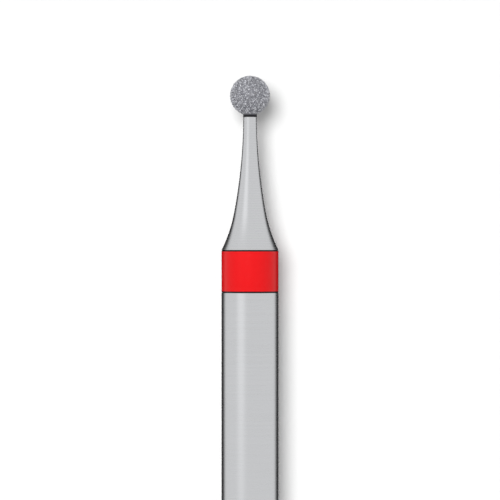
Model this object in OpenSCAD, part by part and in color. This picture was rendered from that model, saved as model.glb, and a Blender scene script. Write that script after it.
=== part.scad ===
// Dental diamond bur with a round head, friction-grip shank and fine-grit colour ring.
// Millimetres. The bur points up along Z, with the centre of its shank's end face at the origin.

/* [Shank] */
// Diameter of the ground shank that the handpiece chuck grips
shank_d = 1.6; // [1.4:0.05:1.8]
// Length of the whole bur, from the shank's end face to the tip
overall_l = 19; // [16:0.5:25]
// Width and height of the chamfer that leads the shank into the chuck
end_chamfer = 0.15; // [0.05:0.01:0.3]

/* [Neck] */
// Length of the working part, from the shoulder at the full shank to the tip
work_l = 4.9; // [4:0.1:8]
// Diameter of the neck where it enters the head
neck_d = 0.37; // [0.3:0.01:0.5]
// Length of the flare above the shoulder, where the neck widens fastest
flare_l = 1.05; // [0.8:0.05:1.4]
// Slope of the flare where it meets the shoulder, in degrees from the axis
flare_angle = 26.5; // [24:0.5:35]

/* [Head] */
// Diameter of the round head, over the tips of the crystals
head_d = 1.13; // [0.9:0.01:1.4]

/* [Diamond coat] */
// Width of a diamond crystal from corner to corner
crystal_size = 0.065; // [0.05:0.005:0.08]
// Least gap between neighbouring crystals, and between the crystals and the neck
crystal_gap = 0.025; // [0.01:0.005:0.05]
// Depth to which the plated nickel holds a crystal
crystal_grip = 0.03; // [0.02:0.001:0.035]
// Thickness of the nickel that is left under the crystals
nickel_floor = 0.03; // [0.01:0.005:0.06]

/* [Colour ring] */
// Height of the lacquered grit-grade ring, which starts at the shoulder
ring_h = 1.2; // [0.6:0.1:2]
// Depth of the groove that the lacquer fills flush
ring_t = 0.04; // [0.02:0.01:0.1]

/* [Hidden] */

// Facets of the round surfaces, and of the neck's two long sweeps
round_fn = 96;
sweep_fn = 256;

// Radii, and heights above the end face
shank_r = shank_d / 2;
neck_r = neck_d / 2;
head_r = head_d / 2;
shoulder_z = overall_l - work_l;
ring_z = shoulder_z - ring_h;
head_z = overall_l - head_r;

// Down from the tips of the crystals come their middles, the nickel and the steel core
crystal_r = crystal_size / 2;
seat_r = head_r - crystal_r;
nickel_r = head_r - crystal_size + crystal_grip;
core_r = nickel_r - crystal_grip - nickel_floor;

// On a golden spiral of n points the nearest neighbours are 3.09 radii / sqrt(n) apart
spiral_spread = 3.09;
golden_angle = 180 * (3 - sqrt(5));
crystal_count = floor(pow(spiral_spread * seat_r / (crystal_size + crystal_gap), 2));
// Under the head, the crystals' middles keep this far from the axis to clear the neck
bare_r = neck_r + crystal_r + crystal_gap;

// The neck leaves the round head upright, and two arcs widen it down to the shoulder
neck_top_z = head_z - sqrt(nickel_r * nickel_r - neck_r * neck_r);
flare_z = shoulder_z + flare_l;
slim_l = neck_top_z - flare_z;
widening = shank_r - neck_r;

// Smaller root of a * t * t - b * t + c = 0
function smaller_root(a, b, c) = (b - sqrt(b * b - 4 * a * c)) / (2 * a);

// An arc widens the neck by its height times the tangent of its mean slope. Both arcs have
// one slope where they meet, and the tangent of half of it is a root of such an equation.
end_tan = tan(flare_angle / 2);
meet_tan = smaller_root(
    slim_l * end_tan,
    slim_l + flare_l + widening * end_tan,
    widening - flare_l * end_tan
);
meet_angle = 2 * atan(meet_tan);
flare_r = neck_r + slim_l * meet_tan;

// Radii of the two arcs
slim_sweep_r = slim_l / sin(meet_angle);
flare_sweep_r = flare_l / (sin(flare_angle) - sin(meet_angle));

// Half outlines have the radius along X and the height along Y

module shank_outline() {
    polygon([
        [0, 0],
        [shank_r - end_chamfer, 0],
        [shank_r, end_chamfer],
        [shank_r, shoulder_z],
        [0, shoulder_z]
    ]);
}

// The round that an arc leaves beside the neck, through the point where the two arcs meet
module sweep(radius) {
    translate([flare_r, flare_z])
        rotate(meet_angle)
            translate([radius, 0])
                circle(radius, $fn = sweep_fn);
}

module flare_outline() {
    difference() {
        translate([0, shoulder_z])
            square([shank_r, flare_l]);
        sweep(flare_sweep_r);
    }
}

// The slim stretch runs on into the core of the head
module slim_neck_outline() {
    difference() {
        translate([0, flare_z])
            square([flare_r, head_z - flare_z]);
        sweep(slim_sweep_r);
    }
}

module half_disc(radius) {
    intersection() {
        translate([0, head_z])
            circle(radius, $fn = round_fn);
        translate([0, head_z - radius])
            square([radius, 2 * radius]);
    }
}

module ring_outline() {
    translate([shank_r - ring_t, ring_z])
        square([ring_t, ring_h]);
}

module blank_outline() {
    difference() {
        union() {
            shank_outline();
            flare_outline();
            slim_neck_outline();
            half_disc(core_r);
        }
        ring_outline();
    }
}

// One turned piece of steel: shank, ring groove, neck and the round core of the head
module turned_blank() {
    color("silver")
        rotate_extrude($fn = round_fn)
            blank_outline();
}

// An octahedron, the natural habit of diamond, about its own middle
module crystal() {
    polyhedron(
        points = crystal_r * [[1, 0, 0], [-1, 0, 0], [0, 1, 0], [0, -1, 0], [0, 0, 1], [0, 0, -1]],
        faces = [
            [0, 4, 2], [2, 4, 1], [1, 4, 3], [3, 4, 0],
            [2, 5, 0], [1, 5, 2], [3, 5, 1], [0, 5, 3]
        ]
    );
}

// The crystals follow a spiral from the tip down, each with a random turn of its own
module spread_crystals() {
    for (i = [0 : crystal_count - 1]) {
        height = 1 - (2 * i + 1) / crystal_count;
        reach = sqrt(1 - height * height);
        turn = i * golden_angle;
        if (height > 0 || reach * seat_r > bare_r)
            translate([0, 0, head_z] + seat_r * [reach * cos(turn), reach * sin(turn), height])
                rotate(rands(0, 360, 3, i))
                    crystal();
    }
}

// The plated layer round the core, with a pocket for the root of every crystal
module nickel_bond() {
    color("dimgray")
        difference() {
            rotate_extrude($fn = round_fn)
                difference() {
                    half_disc(nickel_r);
                    blank_outline();
                }
            spread_crystals();
        }
}

module diamond_crystals() {
    color("slategray")
        spread_crystals();
}

// Lacquer in its groove, red for fine grit
module grit_ring() {
    color("red")
        rotate_extrude($fn = round_fn)
            ring_outline();
}

turned_blank();
nickel_bond();
diamond_crystals();
grit_ring();
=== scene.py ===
# %% [markdown]
# # A dental diamond bur
# A bur is the small tool that spins in a dentist's handpiece. This one is a steel pin 19 mm long.
# Its lower part is the plain shank that the handpiece grips, a coloured ring tells how fine the
# grit is, and a slim neck carries a ball that is covered with diamond grit in plated nickel.
#
# The CAD model gives the main lengths, so the script starts by loading it. One Blender unit is
# one metre, and a bur is tiny, so each size is written in millimetres times MM.

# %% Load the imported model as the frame
import math
import random

import bmesh
import bpy
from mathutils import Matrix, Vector, kdtree


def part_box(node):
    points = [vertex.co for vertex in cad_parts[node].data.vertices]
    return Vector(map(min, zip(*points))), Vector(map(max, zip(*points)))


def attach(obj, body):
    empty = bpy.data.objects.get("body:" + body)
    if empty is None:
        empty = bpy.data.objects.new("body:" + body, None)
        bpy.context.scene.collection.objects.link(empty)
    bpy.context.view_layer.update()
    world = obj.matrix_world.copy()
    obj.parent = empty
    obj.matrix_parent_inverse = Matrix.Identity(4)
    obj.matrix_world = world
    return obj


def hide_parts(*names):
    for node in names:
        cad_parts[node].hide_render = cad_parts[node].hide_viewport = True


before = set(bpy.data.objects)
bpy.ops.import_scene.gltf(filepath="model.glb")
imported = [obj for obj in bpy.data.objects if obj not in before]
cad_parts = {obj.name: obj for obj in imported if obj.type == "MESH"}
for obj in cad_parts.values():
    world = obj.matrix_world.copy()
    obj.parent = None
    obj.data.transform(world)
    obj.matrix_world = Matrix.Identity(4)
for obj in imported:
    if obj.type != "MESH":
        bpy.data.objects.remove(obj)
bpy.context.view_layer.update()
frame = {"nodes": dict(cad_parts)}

MM = 0.001
print("CAD nodes:", ", ".join(frame["nodes"]))

# %% [markdown]
# ## Sizes
# Every size could be typed in again, but then the two models could drift apart. So whatever the
# frame can tell is read from it: how thick the shank is, and where ring, shoulder and head lie.
# Only the sizes that a node's box doesn't give, such as the core's radius, are repeated here.

# %% Read the main sizes from the frame
HEAD_R = 0.565 * MM
NICKEL_R = 0.53 * MM
CORE_R = 0.47 * MM

ring_low, ring_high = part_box("grit_ring")
shank_r = ring_high.x
ring_z, shoulder_z = ring_low.z, ring_high.z
head_centre = Vector((0, 0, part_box("nickel_bond")[1].z - NICKEL_R))
print(f"shank radius {shank_r / MM:.3f} mm")
print(f"ring from {ring_z / MM:.2f} to {shoulder_z / MM:.2f} mm")
print(f"the head's centre is {head_centre.z / MM:.3f} mm above the end face")

# %% [markdown]
# ## Turning on a lathe
# Steel, nickel and lacquer are all bodies of revolution, so one helper makes them as a lathe does:
# it carries an outline round the Z axis. A cylinder or a sphere from Blender's menu would have
# razor-sharp edges, and real edges never are. A second helper therefore breaks each corner. A
# Bevel modifier could do that too, but an outline is easier to control, corner by corner.

# %% Helpers for outlines, which are lists of (radius, height)
CORNER_STEPS = 5


def soften(corners):
    """Replaces each corner (radius, height, edge) by a curve from edge before to edge after it."""
    points = []
    for i, (x, z, edge) in enumerate(corners):
        corner = Vector((x, z))
        if not edge:
            points.append(corner)
            continue
        before, after = (Vector(corners[(i + side) % len(corners)][:2]) for side in (-1, 1))
        start = corner + (before - corner).normalized() * edge
        end = corner + (after - corner).normalized() * edge
        for step in range(CORNER_STEPS + 1):
            t = step / CORNER_STEPS
            points.append(start * (1 - t) ** 2 + corner * 2 * t * (1 - t) + end * t ** 2)
    return points


def arc(centre, radius, start, end, steps):
    """Points on a circle, from one angle to another in degrees."""
    angles = [math.radians(start + (end - start) * i / steps) for i in range(steps + 1)]
    return [Vector(centre) + radius * Vector((math.cos(a), math.sin(a))) for a in angles]


broken = soften([(0, 0, 0), (1, 0, 0.2), (1, 1, 0)])[1:-1]
print("the corner (1, 0), broken over 0.2:", [point.to_tuple(2) for point in broken])

# %% The lathe
LATHE_STEPS = 256
TINY = 1e-5 * MM  # lengths that differ by less are the same
CREASE = 35  # degrees


def new_piece(name, points, faces):
    """Makes an object of a mesh, smooth but for edges sharper than the crease."""
    data = bpy.data.meshes.new(name)
    data.from_pydata(points, [], faces)
    data.shade_smooth()
    data.set_sharp_from_angle(angle=math.radians(CREASE))
    piece = bpy.data.objects.new(name, data)
    bpy.context.scene.collection.objects.link(piece)
    print(f"{name}: {len(points)} points, {len(faces)} faces")
    return piece


def turn(name, outline, closed=False):
    """Turns an outline that runs up its outer side, from axis to axis or closed to a ring."""
    angles = [2 * math.pi * i / LATHE_STEPS for i in range(LATHE_STEPS)]
    points, rows, faces = [], [], []
    for x, z in outline:
        if x < TINY:
            rows.append([len(points)] * LATHE_STEPS)
            points.append((0, 0, z))
        else:
            rows.append(range(len(points), len(points) + LATHE_STEPS))
            points += [(x * math.cos(a), x * math.sin(a), z) for a in angles]
    for low, high in zip(rows, rows[1:] + rows[:1] if closed else rows[1:]):
        for i in range(LATHE_STEPS):
            j = (i + 1) % LATHE_STEPS
            faces.append(list(dict.fromkeys((low[i], low[j], high[j], high[i]))))
    return new_piece(name, points, faces)


print(f"one step round the shank is {2 * math.pi * shank_r / LATHE_STEPS / MM:.3f} mm long")

# %% [markdown]
# ## The steel blank
# One bar is ground and turned to the shank, the ring's groove, the neck and the round core of the
# head. The neck is two arcs that share one tangent where they meet. It could be a Bezier curve
# drawn by eye, but arcs are what a lathe cuts, and these come from three sizes: the neck's
# radius, the length of the flare and its slope at the shoulder. An arc widens the neck by its
# height times the tangent of its mean slope, so the slope where both meet is found by solving
# a quadratic equation.

# %% Work out the two arcs of the neck
NECK_R = 0.185 * MM
FLARE_L = 1.05 * MM
FLARE_SLOPE = 26.5  # degrees from the axis

neck_top_z = head_centre.z - math.sqrt(NICKEL_R ** 2 - NECK_R ** 2)
flare_z = shoulder_z + FLARE_L
slim_l = neck_top_z - flare_z
widening = shank_r - NECK_R

end_tan = math.tan(math.radians(FLARE_SLOPE / 2))
a, b, c = slim_l * end_tan, slim_l + FLARE_L + widening * end_tan, widening - FLARE_L * end_tan
meet_tan = (b - math.sqrt(b * b - 4 * a * c)) / (2 * a)
meet_angle = 2 * math.atan(meet_tan)
meet_slope = math.degrees(meet_angle)
flare_r = NECK_R + slim_l * meet_tan
towards_centres = Vector((math.cos(meet_angle), math.sin(meet_angle)))
print(f"the arcs meet at radius {flare_r / MM:.4f} mm, with a slope of {meet_slope:.2f} degrees")

# %% Draw the arcs
FLARE_STEPS = 24
SLIM_STEPS = 48


def sweep(length, low_slope, high_slope, steps):
    """An arc upwards through the point where both arcs meet, between two slopes in degrees."""
    radius = length / (math.sin(math.radians(low_slope)) - math.sin(math.radians(high_slope)))
    centre = Vector((flare_r, flare_z)) + radius * towards_centres
    print(f"arc of radius {radius / MM:.2f} mm")
    return arc(centre, radius, 180 + low_slope, 180 + high_slope, steps)


flare = sweep(FLARE_L, FLARE_SLOPE, meet_slope, FLARE_STEPS)
slim_neck = sweep(slim_l, meet_slope, 0, SLIM_STEPS)

# %% Turn the blank
END_CHAMFER = 0.15 * MM
END_EDGE = 0.03 * MM
LIP_EDGE = 0.01 * MM
RING_T = 0.04 * MM
CORE_STEPS = 48

groove_r = shank_r - RING_T
shank = soften([
    (0, 0, 0),
    (shank_r - END_CHAMFER, 0, END_EDGE),
    (shank_r, END_CHAMFER, END_EDGE),
    (shank_r, ring_z, LIP_EDGE),
    (groove_r, ring_z, 0),
    (groove_r, shoulder_z, 0),
])
under_head = -math.degrees(math.acos(NECK_R / CORE_R))
core = arc(head_centre.yz, CORE_R, under_head, 90, CORE_STEPS)
core[-1].x = 0
steel_blank = turn("steel_blank", shank + flare + slim_neck[1:] + core)

# %% [markdown]
# ## The lacquer ring
# The ring is lacquer that was laid into the groove and baked. Baking shrinks it, so it draws back
# from the groove's walls and its edges are round. The narrow notch left at each end, with shade
# painted into it by the lacquer's material, reads as a thin dark line. A red band in the steel's
# material would be quicker, but it would have neither the notches nor the softer shine of lacquer.

# %% Turn the ring
MENISCUS = 0.045 * MM

lacquer_ring = turn("lacquer_ring", soften([
    (groove_r, ring_z, 0),
    (shank_r, ring_z, MENISCUS),
    (shank_r, shoulder_z, MENISCUS),
    (groove_r, shoulder_z, 0),
]), closed=True)

# %% [markdown]
# ## The diamond grit
# Fine grit is crushed diamond, sieved to about 46 microns, and it covers the ball. A particle
# system could scatter it, but then some grains lie in each other and some places stay bare. So
# the grains start on a golden spiral, which spreads points evenly over a ball. A random shift
# breaks its pattern, and a few rounds in which close neighbours push each other apart even it
# out again. In the picture 46 microns is a pixel and a half, so grains are drawn a sixth larger.

# %% Start on a golden spiral
GRIT = 0.054 * MM
GRAIN_SPACING = 0.044 * MM
GRAIN_SHIFT = 0.024 * MM
SPIRAL_SPREAD = 3.09  # on n points of a spiral, neighbours are this many radii / sqrt(n) apart

dice = random.Random(46)
seat_r = HEAD_R - GRIT / 2
grain_count = int((SPIRAL_SPREAD * seat_r / GRAIN_SPACING) ** 2)
golden_angle = math.pi * (3 - math.sqrt(5))
grain_places = []
for i in range(grain_count):
    height = 1 - (2 * i + 1) / grain_count
    reach = math.sqrt(1 - height * height)
    angle = i * golden_angle
    place = seat_r * Vector((reach * math.cos(angle), reach * math.sin(angle), height))
    place += GRAIN_SHIFT * Vector([dice.uniform(-1, 1) for _ in range(3)])
    grain_places.append(seat_r * place.normalized())
print(f"{grain_count} places on the spiral")

# %% Push close neighbours apart and leave the neck free
PUSH_ROUNDS = 10
PUSH_SHARE = 0.25
NECK_CLEARANCE = 0.012 * MM


def search_tree(places):
    """A tree that quickly finds the places near a point."""
    tree = kdtree.KDTree(len(places))
    for i, place in enumerate(places):
        tree.insert(place, i)
    tree.balance()
    return tree


for _ in range(PUSH_ROUNDS):
    tree = search_tree(grain_places)
    pushed = []
    for place in grain_places:
        push = Vector()
        for other, _, gap in tree.find_range(place, GRAIN_SPACING):
            if gap:
                push += (place - other) * (GRAIN_SPACING / gap - 1) * PUSH_SHARE
        pushed.append(seat_r * (place + push).normalized())
    grain_places = pushed

bare_r = NECK_R + NECK_CLEARANCE
grain_places = [place for place in grain_places if place.z > 0 or place.xy.length > bare_r]
tree = search_tree(grain_places)
gaps = [tree.find_n(place, 2)[1][2] / MM for place in grain_places]
print(f"{len(grain_places)} grains, next neighbour {min(gaps):.3f} to {max(gaps):.3f} mm away")

# %% [markdown]
# A crushed grain is a splinter with flat faces and sharp corners. One splinter could be copied
# and turned each time, but the hull round a dozen random points is just as easy and makes every
# grain a different one. Each is pushed out until its tip reaches the head's radius, less a little
# at random.

# %% Grow the grains
GRAIN_POINTS = 12
GRAIN_STRETCH = (0.85, 1.15)
GRAIN_SINK = 0.004 * MM


def splinter(size):
    """The corners and faces of the hull round random points in a ball of the given half sizes."""
    mesh = bmesh.new()
    for _ in range(GRAIN_POINTS):
        mesh.verts.new(Vector([dice.gauss(0, 1) for _ in range(3)]).normalized() * size)
    hull = bmesh.ops.convex_hull(mesh, input=mesh.verts)
    bmesh.ops.delete(mesh, geom=hull["geom_interior"], context="VERTS")
    bmesh.ops.recalc_face_normals(mesh, faces=mesh.faces)
    mesh.verts.index_update()
    corners = [vertex.co.copy() for vertex in mesh.verts]
    faces = [[vertex.index for vertex in face.verts] for face in mesh.faces]
    mesh.free()
    return corners, faces


grit_corners, grit_faces, seats = [], [], []
for place in grain_places:
    outward = place.normalized()
    stretch = Vector([dice.uniform(*GRAIN_STRETCH) for _ in range(3)])
    corners, faces = splinter(stretch * GRIT / 2)
    reach = max(corner.dot(outward) for corner in corners)
    seats.append(head_centre + outward * (HEAD_R - reach - dice.uniform(0, GRAIN_SINK)))
    grit_faces += [[len(grit_corners) + i for i in face] for face in faces]
    grit_corners += [seats[-1] + corner for corner in corners]
diamond_grit = new_piece("diamond_grit", grit_corners, grit_faces)
diamond_grit.data.shade_flat()

# %% [markdown]
# ## The nickel that holds the grit
# The ball is plated until nickel holds each grain by its lower half. Nickel grows up the sides of
# the grains, so its skin is pillowed. Below the ball a small round fillet leads it into a thin
# collar, which ends on the neck. A bump texture would do from far away, but the grit is right
# beside it, so the skin itself is raised.

# %% Turn the skin
SKIN_R = 0.531 * MM
COLLAR_H = 0.11 * MM
COLLAR_T = 0.008 * MM
FILLET = 0.03 * MM
FILLET_STEPS = 8
SKIN_STEPS = 200

collar_z = neck_top_z - COLLAR_H
collar = [Vector((NECK_R, collar_z)), Vector((NECK_R + COLLAR_T, collar_z + COLLAR_T))]
fillet_x = NECK_R + COLLAR_T + FILLET
fillet_z = head_centre.z - math.sqrt((SKIN_R + FILLET) ** 2 - fillet_x ** 2)
tilt = math.degrees(math.atan2(head_centre.z - fillet_z, fillet_x))
fillet = arc((fillet_x, fillet_z), FILLET, 180, 180 - tilt, FILLET_STEPS)
ball = arc(head_centre.yz, SKIN_R, -tilt, 90, SKIN_STEPS)
ball[-1].x = 0
nickel_skin = turn("nickel_skin", core[::-1] + collar + fillet + ball[1:])

# %% Raise it round the grains
CLIMB = 0.008 * MM
CLIMB_WIDTH = 0.02 * MM

seat_tree = search_tree(seats)
raised = 0
for vertex in nickel_skin.data.vertices:
    outward = vertex.co - head_centre
    if abs(outward.length - SKIN_R) < TINY:
        beside = seat_tree.find(head_centre + outward.normalized() * seat_r)[2]
        vertex.co += outward.normalized() * CLIMB * math.exp(-(beside / CLIMB_WIDTH) ** 2)
        raised += 1
print(f"{raised} points of the skin raised by up to {CLIMB / MM:.3f} mm")

# %% [markdown]
# ## Tools for materials
# Colours are easiest to compare as sRGB hex values, but shaders want them linear, so one function
# turns them. Another adds a node with its settings and links in a single line, and a third closes
# a material and puts it on its piece.

# %% Helpers for materials
def linear(hex_code):
    """An sRGB colour such as #C7C8CA as the linear colour that shaders use."""
    parts = [int(hex_code[i:i + 2], 16) / 255 for i in (1, 3, 5)]
    return [p / 12.92 if p <= 0.04045 else ((p + 0.055) / 1.055) ** 2.4 for p in parts] + [1]


def new_tree(owner):
    """The emptied node tree of a material or a world."""
    owner.use_nodes = True
    owner.node_tree.nodes.clear()
    return owner.node_tree


def add(tree, kind, inputs=None, **settings):
    """Adds a node with its settings. An input, by name or number, takes a value or a link."""
    made = tree.nodes.new("ShaderNode" + kind)
    for name, value in settings.items():
        setattr(made, name, value)
    in_use = [socket for socket in made.inputs if socket.enabled]
    by_name = {socket.name: socket for socket in reversed(in_use)}
    for name, value in (inputs or {}).items():
        socket = in_use[name] if isinstance(name, int) else by_name[name]
        if isinstance(value, bpy.types.Node):
            value = next(output for output in value.outputs if output.enabled)
        if isinstance(value, bpy.types.NodeSocket):
            tree.links.new(value, socket)
        else:
            socket.default_value = value
    return made


def coat(piece, material, shader):
    """Closes the material's tree with that shader and puts it on the piece."""
    add(material.node_tree, "OutputMaterial", {"Surface": shader})
    piece.data.materials.append(material)
    print(f"{piece.name} is {material.name}, made of {len(material.node_tree.nodes)} nodes")


print("the grey #808080 is", round(linear("#808080")[0], 3), "when linear")

# %% [markdown]
# ## Ground and turned stainless steel
# The shank is ground between wheels and the neck is turned. Both leave fine lines round the axis,
# so a reflection is blurred along the bur and stays crisp round it, which is what anisotropy does.
# The wheel leaves broken scratches, and a noise that is stretched round the bur looks like them.
# The turning tool leaves even lines, which a wave draws. Real lines are about 0.01 mm apart. Here
# they are 0.06 and 0.07 mm apart, or no pixel would show them. All of it depends only on the place
# on the bur, so it needs no UV map, and no seam can show.

# %% Draw the lines of wheel and tool
GRIND_PITCH = 0.06 * MM
GRIND_LENGTH = 2.5 * MM
TURN_PITCH = 0.07 * MM
TURN_SHARE = 0.4  # of the full contrast, because a fine cut is fainter than scratches
WAVE_PITCH = math.pi / 10  # of a wave texture whose scale is 1

steel = bpy.data.materials.new("ground_stainless_steel")
tree = new_tree(steel)
place = add(tree, "TexCoord").outputs["Object"]
height = add(tree, "SeparateXYZ", {"Vector": place}).outputs["Z"]
on_neck = add(tree, "Math", {0: height, 1: shoulder_z}, operation="GREATER_THAN")
on_end = add(tree, "Math", {0: height, 1: END_EDGE}, operation="LESS_THAN")

stretched = add(tree, "Mapping", {
    "Vector": place, "Scale": (1 / GRIND_LENGTH, 1 / GRIND_LENGTH, 1 / GRIND_PITCH)})
ground = add(tree, "TexNoise", {"Vector": stretched, "Scale": 1, "Detail": 3, "Roughness": 0.6})
turned = add(tree, "TexWave", {
    "Vector": place, "Scale": WAVE_PITCH / TURN_PITCH, "Distortion": 0.6, "Detail": 2,
    "Detail Scale": 0.4}, bands_direction="Z")
turned = add(tree, "MapRange", {
    "Value": turned, "To Min": 0.5 - TURN_SHARE / 2, "To Max": 0.5 + TURN_SHARE / 2})
faced = add(tree, "TexWave", {
    "Vector": place, "Scale": WAVE_PITCH / TURN_PITCH, "Distortion": 0.3},
    wave_type="RINGS", rings_direction="Z")
lines = add(tree, "Mix", {"Factor": on_neck, "A": ground, "B": turned})
lines = add(tree, "Mix", {"Factor": on_end, "A": lines, "B": faced})
print(f"ground lines {GRIND_PITCH / MM:.2f} mm apart, turned ones {TURN_PITCH / MM:.2f} mm")

# %% [markdown]
# Stainless steel is a neutral light grey. Polished steel has a roughness of about 0.1 and blasted
# steel one of 0.5, and a ground shank lies between them. The hollows of the lines are smoother and
# darker than their ridges, and faint clouds keep the long shank from looking like plastic. The
# tangent runs round the axis, and turning it by a quarter lays the blur along the bur.

# %% Make the steel
GRIND_DEPTH = 0.0012 * MM
TURN_DEPTH = 0.0003 * MM
CLOUD = 1.5 * MM
STEEL_HOLLOW = linear("#BFC0C2")
STEEL_RIDGE = linear("#CFD0D2")
STEEL_CLOUD = linear("#C9CACC")
STEEL_ROUGHNESS = (0.24, 0.32)  # in the hollows and on the ridges
QUARTER_TURN = 0.25

depth = add(tree, "Mix", {"Factor": on_neck, "A": GRIND_DEPTH, "B": TURN_DEPTH})
relief = add(tree, "Math", {0: lines, 1: depth}, operation="MULTIPLY")
clouds = add(tree, "TexNoise", {"Vector": place, "Scale": 1 / CLOUD, "Detail": 2})
tone = add(tree, "Mix", {"Factor": lines, "A": STEEL_HOLLOW, "B": STEEL_RIDGE}, data_type="RGBA")
tone = add(tree, "Mix", {"Factor": clouds, "A": tone, "B": STEEL_CLOUD}, data_type="RGBA")
roughness = add(tree, "MapRange", {
    "Value": lines, "To Min": STEEL_ROUGHNESS[0], "To Max": STEEL_ROUGHNESS[1]})
coat(steel_blank, steel, add(tree, "BsdfPrincipled", {
    "Base Color": tone,
    "Metallic": 1,
    "Roughness": roughness,
    "Anisotropic": 0.5,
    "Anisotropic Rotation": QUARTER_TURN,
    "Tangent": add(tree, "Tangent", direction_type="RADIAL", axis="Z"),
    "Normal": add(tree, "Bump", {"Height": relief, "Distance": 1, "Strength": 1}),
}))

# %% [markdown]
# ## Matt plated nickel
# Nickel from a bath without brighteners is a matt grey with a fine nodular grain, and it has a
# roughness of about 0.45. The nodules are only a few microns wide and are drawn at 0.02 mm, so
# that they show. In the sheltered corner under the ball the collar is painted darker, as painted
# shade where neck and ball meet. That shade could be a ring of its own, but it has no thickness,
# so it is a change of colour by height.

# %% Make the nickel
NODULE = 0.02 * MM
NODULE_DEPTH = 0.002 * MM
UNDER_BALL_SHADE_HEIGHT = 0.055 * MM
NICKEL_DARK = linear("#7C7D83")
NICKEL_LIGHT = linear("#A4A4AB")
UNDER_BALL_SHADE = linear("#2E2E30")

nickel = bpy.data.materials.new("matt_plated_nickel")
tree = new_tree(nickel)
place = add(tree, "TexCoord").outputs["Object"]
height = add(tree, "SeparateXYZ", {"Vector": place}).outputs["Z"]
nodules = add(tree, "TexNoise", {"Vector": place, "Scale": 1 / NODULE, "Detail": 2})
# Painted shade: the collar under the ball turns darker towards the bottom, where neck and ball
# meet.
under_ball_shade = add(tree, "MapRange", {
    "Value": height, "From Min": neck_top_z, "From Max": collar_z + UNDER_BALL_SHADE_HEIGHT})
tone = add(tree, "Mix", {"Factor": nodules, "A": NICKEL_DARK, "B": NICKEL_LIGHT},
           data_type="RGBA")
tone = add(tree, "Mix", {"Factor": under_ball_shade, "A": tone, "B": UNDER_BALL_SHADE}, data_type="RGBA")
coat(nickel_skin, nickel, add(tree, "BsdfPrincipled", {
    "Base Color": tone,
    "Metallic": 1,
    "Roughness": 0.45,
    "Normal": add(tree, "Bump", {"Height": nodules, "Distance": NODULE_DEPTH, "Strength": 1}),
}))

# %% [markdown]
# ## Crushed diamond
# A grain of diamond is clear, but a crushed one is full of cracks, so it looks grey and each grain
# has its own tone. A shader for glass would be true to one clean stone, but it is slow, and a
# thousand cracked ones show the same grey. The IOR of 2.42 is one of the highest there is, and
# with smooth faces it makes the grains glint.

# %% Make the diamond
GRAIN_DARK = linear("#797A80")
GRAIN_LIGHT = linear("#D4D5DC")

diamond = bpy.data.materials.new("crushed_diamond")
tree = new_tree(diamond)
grain = add(tree, "NewGeometry").outputs["Random Per Island"]
tone = add(tree, "Mix", {"Factor": grain, "A": GRAIN_DARK, "B": GRAIN_LIGHT}, data_type="RGBA")
coat(diamond_grit, diamond, add(tree, "BsdfPrincipled", {
    "Base Color": tone,
    "IOR": 2.42,
    "Roughness": 0.15,
}))

# %% [markdown]
# ## Baked lacquer
# The red means fine grit. Lacquer has an IOR of 1.5 and levels out while it bakes, but it keeps a
# faint orange peel. The notches at its ends are painted dark, as painted shade in those hollows.
# Its gloss is turned down below the usual level, because each cleaning dulls it a little. A
# clear coat over a matt red could show that too, but one layer is enough.

# %% Make the lacquer
PEEL = 0.12 * MM
PEEL_DEPTH = 0.0008 * MM
NOTCH_SHADE_FULL = 0.035 * MM
NOTCH_SHADE_END = 0.05 * MM
RED_HOLLOW = linear("#EF0810")
RED_CREST = linear("#F30C14")
NOTCH_SHADE = linear("#1E1415")

lacquer = bpy.data.materials.new("baked_red_lacquer")
tree = new_tree(lacquer)
place = add(tree, "TexCoord").outputs["Object"]
height = add(tree, "SeparateXYZ", {"Vector": place}).outputs["Z"]
from_low = add(tree, "Math", {0: height, 1: ring_z}, operation="SUBTRACT")
from_high = add(tree, "Math", {0: shoulder_z, 1: height}, operation="SUBTRACT")
from_end = add(tree, "Math", {0: from_low, 1: from_high}, operation="MINIMUM")
# Painted shade: the lacquer turns dark in the notches at both ends of the ring.
notch_shade = add(tree, "MapRange", {
    "Value": from_end, "From Min": NOTCH_SHADE_END, "From Max": NOTCH_SHADE_FULL})
peel = add(tree, "TexNoise", {"Vector": place, "Scale": 1 / PEEL, "Detail": 1})
tone = add(tree, "Mix", {"Factor": peel, "A": RED_HOLLOW, "B": RED_CREST}, data_type="RGBA")
tone = add(tree, "Mix", {"Factor": notch_shade, "A": tone, "B": NOTCH_SHADE}, data_type="RGBA")
coat(lacquer_ring, lacquer, add(tree, "BsdfPrincipled", {
    "Base Color": tone,
    "IOR": 1.5,
    "Specular IOR Level": 0.22,
    "Roughness": 0.22,
    "Normal": add(tree, "Bump", {"Height": peel, "Distance": PEEL_DEPTH, "Strength": 1}),
}))

# %% [markdown]
# ## Put the pieces in place of the CAD nodes
# Each piece stands for the CAD node of the same part and rides on the one body that there is. The
# CAD nodes could have stayed with better materials, but their edges are sharp and their crystals
# are plain octahedra, so all four are replaced.

# %% Put each piece on the body and hide its CAD node
for piece, node, slot in (
    (steel_blank, "turned_blank", "steel"),
    (nickel_skin, "nickel_bond", "nickel"),
    (diamond_grit, "diamond_crystals", "diamond"),
    (lacquer_ring, "grit_ring", "red_lacquer"),
):
    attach(piece, "root")
    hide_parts(node)
    print(f"{piece.name} stands for {node} in {slot}")

# %% [markdown]
# ## The camera
# The drawing shows the bur straight from the side and without perspective. A camera without
# perspective could show it so, but from other sides it would look unreal. A long lens, level
# with the shoulder, has so little perspective that it doesn't show.

# %% Set up the camera
LENS = 200  # focal length in millimetres, as Blender wants it
SENSOR = 36  # width of the sensor, in millimetres too
VIEW_WIDTH = 14.045 * MM  # what the picture spans at the bur
NEAR = 1 * MM
FAR = 10  # metres

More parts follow.
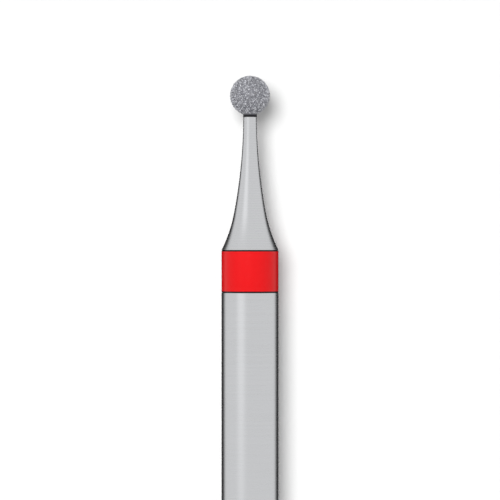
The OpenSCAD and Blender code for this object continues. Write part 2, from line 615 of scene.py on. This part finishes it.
scene = bpy.context.scene
camera_distance = VIEW_WIDTH * LENS / SENSOR
camera = bpy.data.objects.new("camera", bpy.data.cameras.new("camera"))
camera.data.lens, camera.data.sensor_width = LENS, SENSOR
camera.data.clip_start, camera.data.clip_end = NEAR, FAR
camera.location = (0, -camera_distance, shoulder_z)
camera.rotation_euler = (math.radians(90), 0, 0)
scene.collection.objects.link(camera)
scene.camera = camera
scene.view_settings.view_transform = "Standard"
print(f"the camera is {camera_distance / MM:.1f} mm from the bur")

# %% [markdown]
# ## The world
# Metal shows only what it mirrors. A plain white world would make it plain grey, and a studio
# picture would bring its own colours. So the world is drawn: white, with two tall black flags
# behind the bur, left and right, which give bright metal its dark edges against a white ground,
# and with a soft box to the upper left, which gives it a faint highlight. Downwards it grows a
# little darker, as a floor does, so that the flare stands out from the shank when seen from above.

# %% Draw what metal mirrors
FLAG_INNER = (3, 8)  # degrees to either side of straight behind, fully white and fully dark
FLAG_OUTER = (42, 66)  # the same, fully dark and fully white
FLAG_DARK = 0.03
MIRROR_LEVEL = 0.965
BOX_DIRECTION = Vector((-0.75, -1, 0.35)).normalized()
BOX_EDGE = (24, 8)  # degrees from its middle, where its light ends and where it is full
BOX_LEVEL = 0.35
BELOW = (-0.95, -0.25)  # the Z of a direction of length 1, where it is darkest and plain again
BELOW_LEVEL = 0.7

world = bpy.data.worlds.new("studio")
tree = new_tree(world)
direction = add(tree, "TexCoord").outputs["Generated"]
level_part = add(tree, "VectorMath", {0: direction, 1: (1, 1, 0)}, operation="MULTIPLY")
level_part = add(tree, "VectorMath", {0: level_part}, operation="NORMALIZE")
backwards = add(tree, "SeparateXYZ", {"Vector": level_part}).outputs["Y"]
from_back = add(tree, "Math", {0: backwards}, operation="ARCCOSINE")
inner = add(tree, "MapRange", {
    "Value": from_back, "From Min": math.radians(FLAG_INNER[0]),
    "From Max": math.radians(FLAG_INNER[1]), "To Min": 1, "To Max": FLAG_DARK})
outer = add(tree, "MapRange", {
    "Value": from_back, "From Min": math.radians(FLAG_OUTER[0]),
    "From Max": math.radians(FLAG_OUTER[1]), "To Min": FLAG_DARK, "To Max": MIRROR_LEVEL},
    interpolation_type="SMOOTHSTEP")
towards_box = add(tree, "VectorMath", {0: direction, 1: BOX_DIRECTION}, operation="DOT_PRODUCT")
box = add(tree, "MapRange", {
    "Value": towards_box, "From Min": math.cos(math.radians(BOX_EDGE[0])),
    "From Max": math.cos(math.radians(BOX_EDGE[1])), "To Max": BOX_LEVEL},
    interpolation_type="SMOOTHSTEP")
flagged = add(tree, "Math", {0: inner, 1: outer}, operation="MAXIMUM")
mirrored = add(tree, "Math", {0: flagged, 1: box}, operation="ADD")
upwards = add(tree, "SeparateXYZ", {"Vector": direction}).outputs["Z"]
below = add(tree, "MapRange", {
    "Value": upwards, "From Min": BELOW[0], "From Max": BELOW[1],
    "To Min": BELOW_LEVEL, "To Max": 1})
mirrored = add(tree, "Math", {0: mirrored, 1: below}, operation="MULTIPLY")
print(f"flags from {FLAG_INNER[1]} to {FLAG_OUTER[0]} degrees to either side of straight behind")

# %% [markdown]
# Metal sees that drawing, the camera sees plain white, and matt surfaces get a plain dim light
# from all sides. The world isn't sampled as a lamp is, because its level depends on what looks.

# %% Make the world
AMBIENT = 0.42

ray = add(tree, "LightPath")
seen = add(tree, "Math", {0: ray.outputs["Is Camera Ray"], 1: ray.outputs["Is Transmission Ray"]},
           operation="MAXIMUM")
level = add(tree, "Mix", {"Factor": seen, "A": AMBIENT, "B": 1})
level = add(tree, "Mix", {"Factor": ray.outputs["Is Glossy Ray"], "A": level, "B": mirrored})
add(tree, "OutputWorld", {
    "Surface": add(tree, "Background", {"Color": (1, 1, 1, 1), "Strength": level})})
world.cycles.sampling_method = "NONE"
scene.world = world
print(f"{world.name} world, made of {len(tree.nodes)} nodes")

# %% [markdown]
# ## The lamps
# The lamps light what is matt: lacquer, grit and paper. A broad key lamp stands to the upper left
# of the camera, and weaker ones behind and above keep the other sides readable. Area lamps would
# be brighter close by, but a sun lamp with a wide angle is as soft and lights all heights alike.
# Metal doesn't mirror them, because a lamp in a mirror is a glaring spot.

# %% Set up the lamps
KEY_DIRECTION = (-0.15, -1, 0.15)
KEY_LEVEL = 0.6
KEY_SPREAD = 22
BACK_LEVEL = 0.3
TOP_LEVEL = 0.2
FILL_SPREAD = 40


def new_lamp(name, direction, level, spread):
    """A far lamp in that direction. Its level is how bright it makes white that faces it."""
    data = bpy.data.lights.new(name, "SUN")
    data.energy = level * math.pi
    data.angle = math.radians(spread)
    lamp = bpy.data.objects.new(name, data)
    lamp.rotation_euler = Vector(direction).to_track_quat("Z", "Y").to_euler()
    lamp.visible_glossy = False
    scene.collection.objects.link(lamp)
    print(f"{name}: level {level}, {spread} degrees wide")
    return lamp


new_lamp("key_lamp", KEY_DIRECTION, KEY_LEVEL, KEY_SPREAD)
new_lamp("back_left_lamp", (-0.4, 1, 0.3), BACK_LEVEL, FILL_SPREAD)
new_lamp("back_right_lamp", (0.4, 1, 0.3), BACK_LEVEL, FILL_SPREAD)
new_lamp("top_lamp", (0, 0, 1), TOP_LEVEL, FILL_SPREAD)

# %% [markdown]
# ## The floor
# The bur stands on matt white paper. The lamps are set for the bur, and under them alone the paper
# would be grey. More light would spoil the colours of the bur, so the paper glows a little instead,
# but only for what looks at it. That makes it white and still lets it show the bur's soft shadow.

# %% Mix the floor's paper
FLOOR_WHITE = 0.9
FLOOR_GLOW = 0.25


def paper(tree, white, glow):
    """Matt paper that also glows a little for what looks at it: white, but it keeps shadows."""
    ray = add(tree, "LightPath")
    seen = add(tree, "Math", {
        0: ray.outputs["Is Camera Ray"], 1: ray.outputs["Is Glossy Ray"]}, operation="MAXIMUM")
    seen = add(tree, "Math", {0: seen, 1: ray.outputs["Is Transmission Ray"]}, operation="MAXIMUM")
    strength = add(tree, "Math", {0: seen, 1: glow}, operation="MULTIPLY")
    matt = add(tree, "BsdfDiffuse", {"Color": (white, white, white, 1)})
    print(f"paper that returns {white:.0%} of the light and glows at {glow}")
    return add(tree, "AddShader", {0: matt, 1: add(tree, "Emission", {"Strength": strength})})


floor_paper = bpy.data.materials.new("floor_paper")
floor_surface = paper(new_tree(floor_paper), FLOOR_WHITE, FLOOR_GLOW)

# %% [markdown]
# Floor and card are single sheets. A camera that looks from below or from behind would see nothing
# but their backs, so they are clear from there. Nothing but the camera sees them, so they neither
# shade the bur nor show in its metal.

# %% Lay the floor
FLOOR_R = 150 * MM
FLOOR_STEPS = 72


def sheet_of(name, material, surface, corners):
    """A flat piece of the studio that shows its surface in front and is clear from behind."""
    tree = material.node_tree
    back = add(tree, "NewGeometry").outputs["Backfacing"]
    surface = add(tree, "MixShader", {0: back, 1: surface, 2: add(tree, "BsdfTransparent")})
    data = bpy.data.meshes.new(name)
    data.from_pydata(corners, [], [range(len(corners))])
    sheet = bpy.data.objects.new(name, data)
    coat(sheet, material, surface)
    sheet.visible_diffuse = sheet.visible_glossy = False
    sheet.visible_shadow = sheet.visible_transmission = False
    scene.collection.objects.link(sheet)
    return sheet


floor_rim = [(*point, 0) for point in arc((0, 0), FLOOR_R, 0, 360, FLOOR_STEPS)[:-1]]
sheet_of("floor", floor_paper, floor_surface, floor_rim)

# %% [markdown]
# ## The card
# The drawing has a soft shadow to the lower right, as if the bur lay just above white paper. One
# big backdrop that sweeps up behind the floor is the usual way, but it is too far off to catch
# such a shadow. So a card stands close behind the bur. Its paper is a dim grey that a lamp of its
# own makes white, so that the red ring hardly tints it. At its foot it is plain white, so that the
# shadow fades before it meets the floor, and so it is along a flat glance, by the sheen that any
# paper has.

# %% Stand the card and light it
CARD_Y = 1.6 * MM
CARD_HALF = 8 * MM
CARD_TOP = 22 * MM
CARD_FOOT = 5 * MM
CARD_WHITE = 0.2
CARD_GLOW = 0.195
CARD_LEVEL = 3.2
PAPER_IOR = 1.5

card_paper = bpy.data.materials.new("card_paper")
tree = new_tree(card_paper)
place = add(tree, "TexCoord").outputs["Object"]
height = add(tree, "SeparateXYZ", {"Vector": place}).outputs["Z"]
above_foot = add(tree, "MapRange", {"Value": height, "From Min": 0, "From Max": CARD_FOOT})
plain_white = add(tree, "Emission", {"Strength": 1})
dim_paper = paper(tree, CARD_WHITE, CARD_GLOW)
surface = add(tree, "MixShader", {0: above_foot, 1: plain_white, 2: dim_paper})
sheen = add(tree, "Fresnel", {"IOR": PAPER_IOR})
surface = add(tree, "MixShader", {0: sheen, 1: surface, 2: plain_white})
card = sheet_of("card", card_paper, surface, [
    (-CARD_HALF, CARD_Y, 0), (CARD_HALF, CARD_Y, 0),
    (CARD_HALF, CARD_Y, CARD_TOP), (-CARD_HALF, CARD_Y, CARD_TOP)])

card_lamp = new_lamp("card_lamp", KEY_DIRECTION, CARD_LEVEL, KEY_SPREAD)
card_lamp.light_linking.receiver_collection = bpy.data.collections.new("lit_by_card_lamp")
card_lamp.light_linking.receiver_collection.objects.link(card)
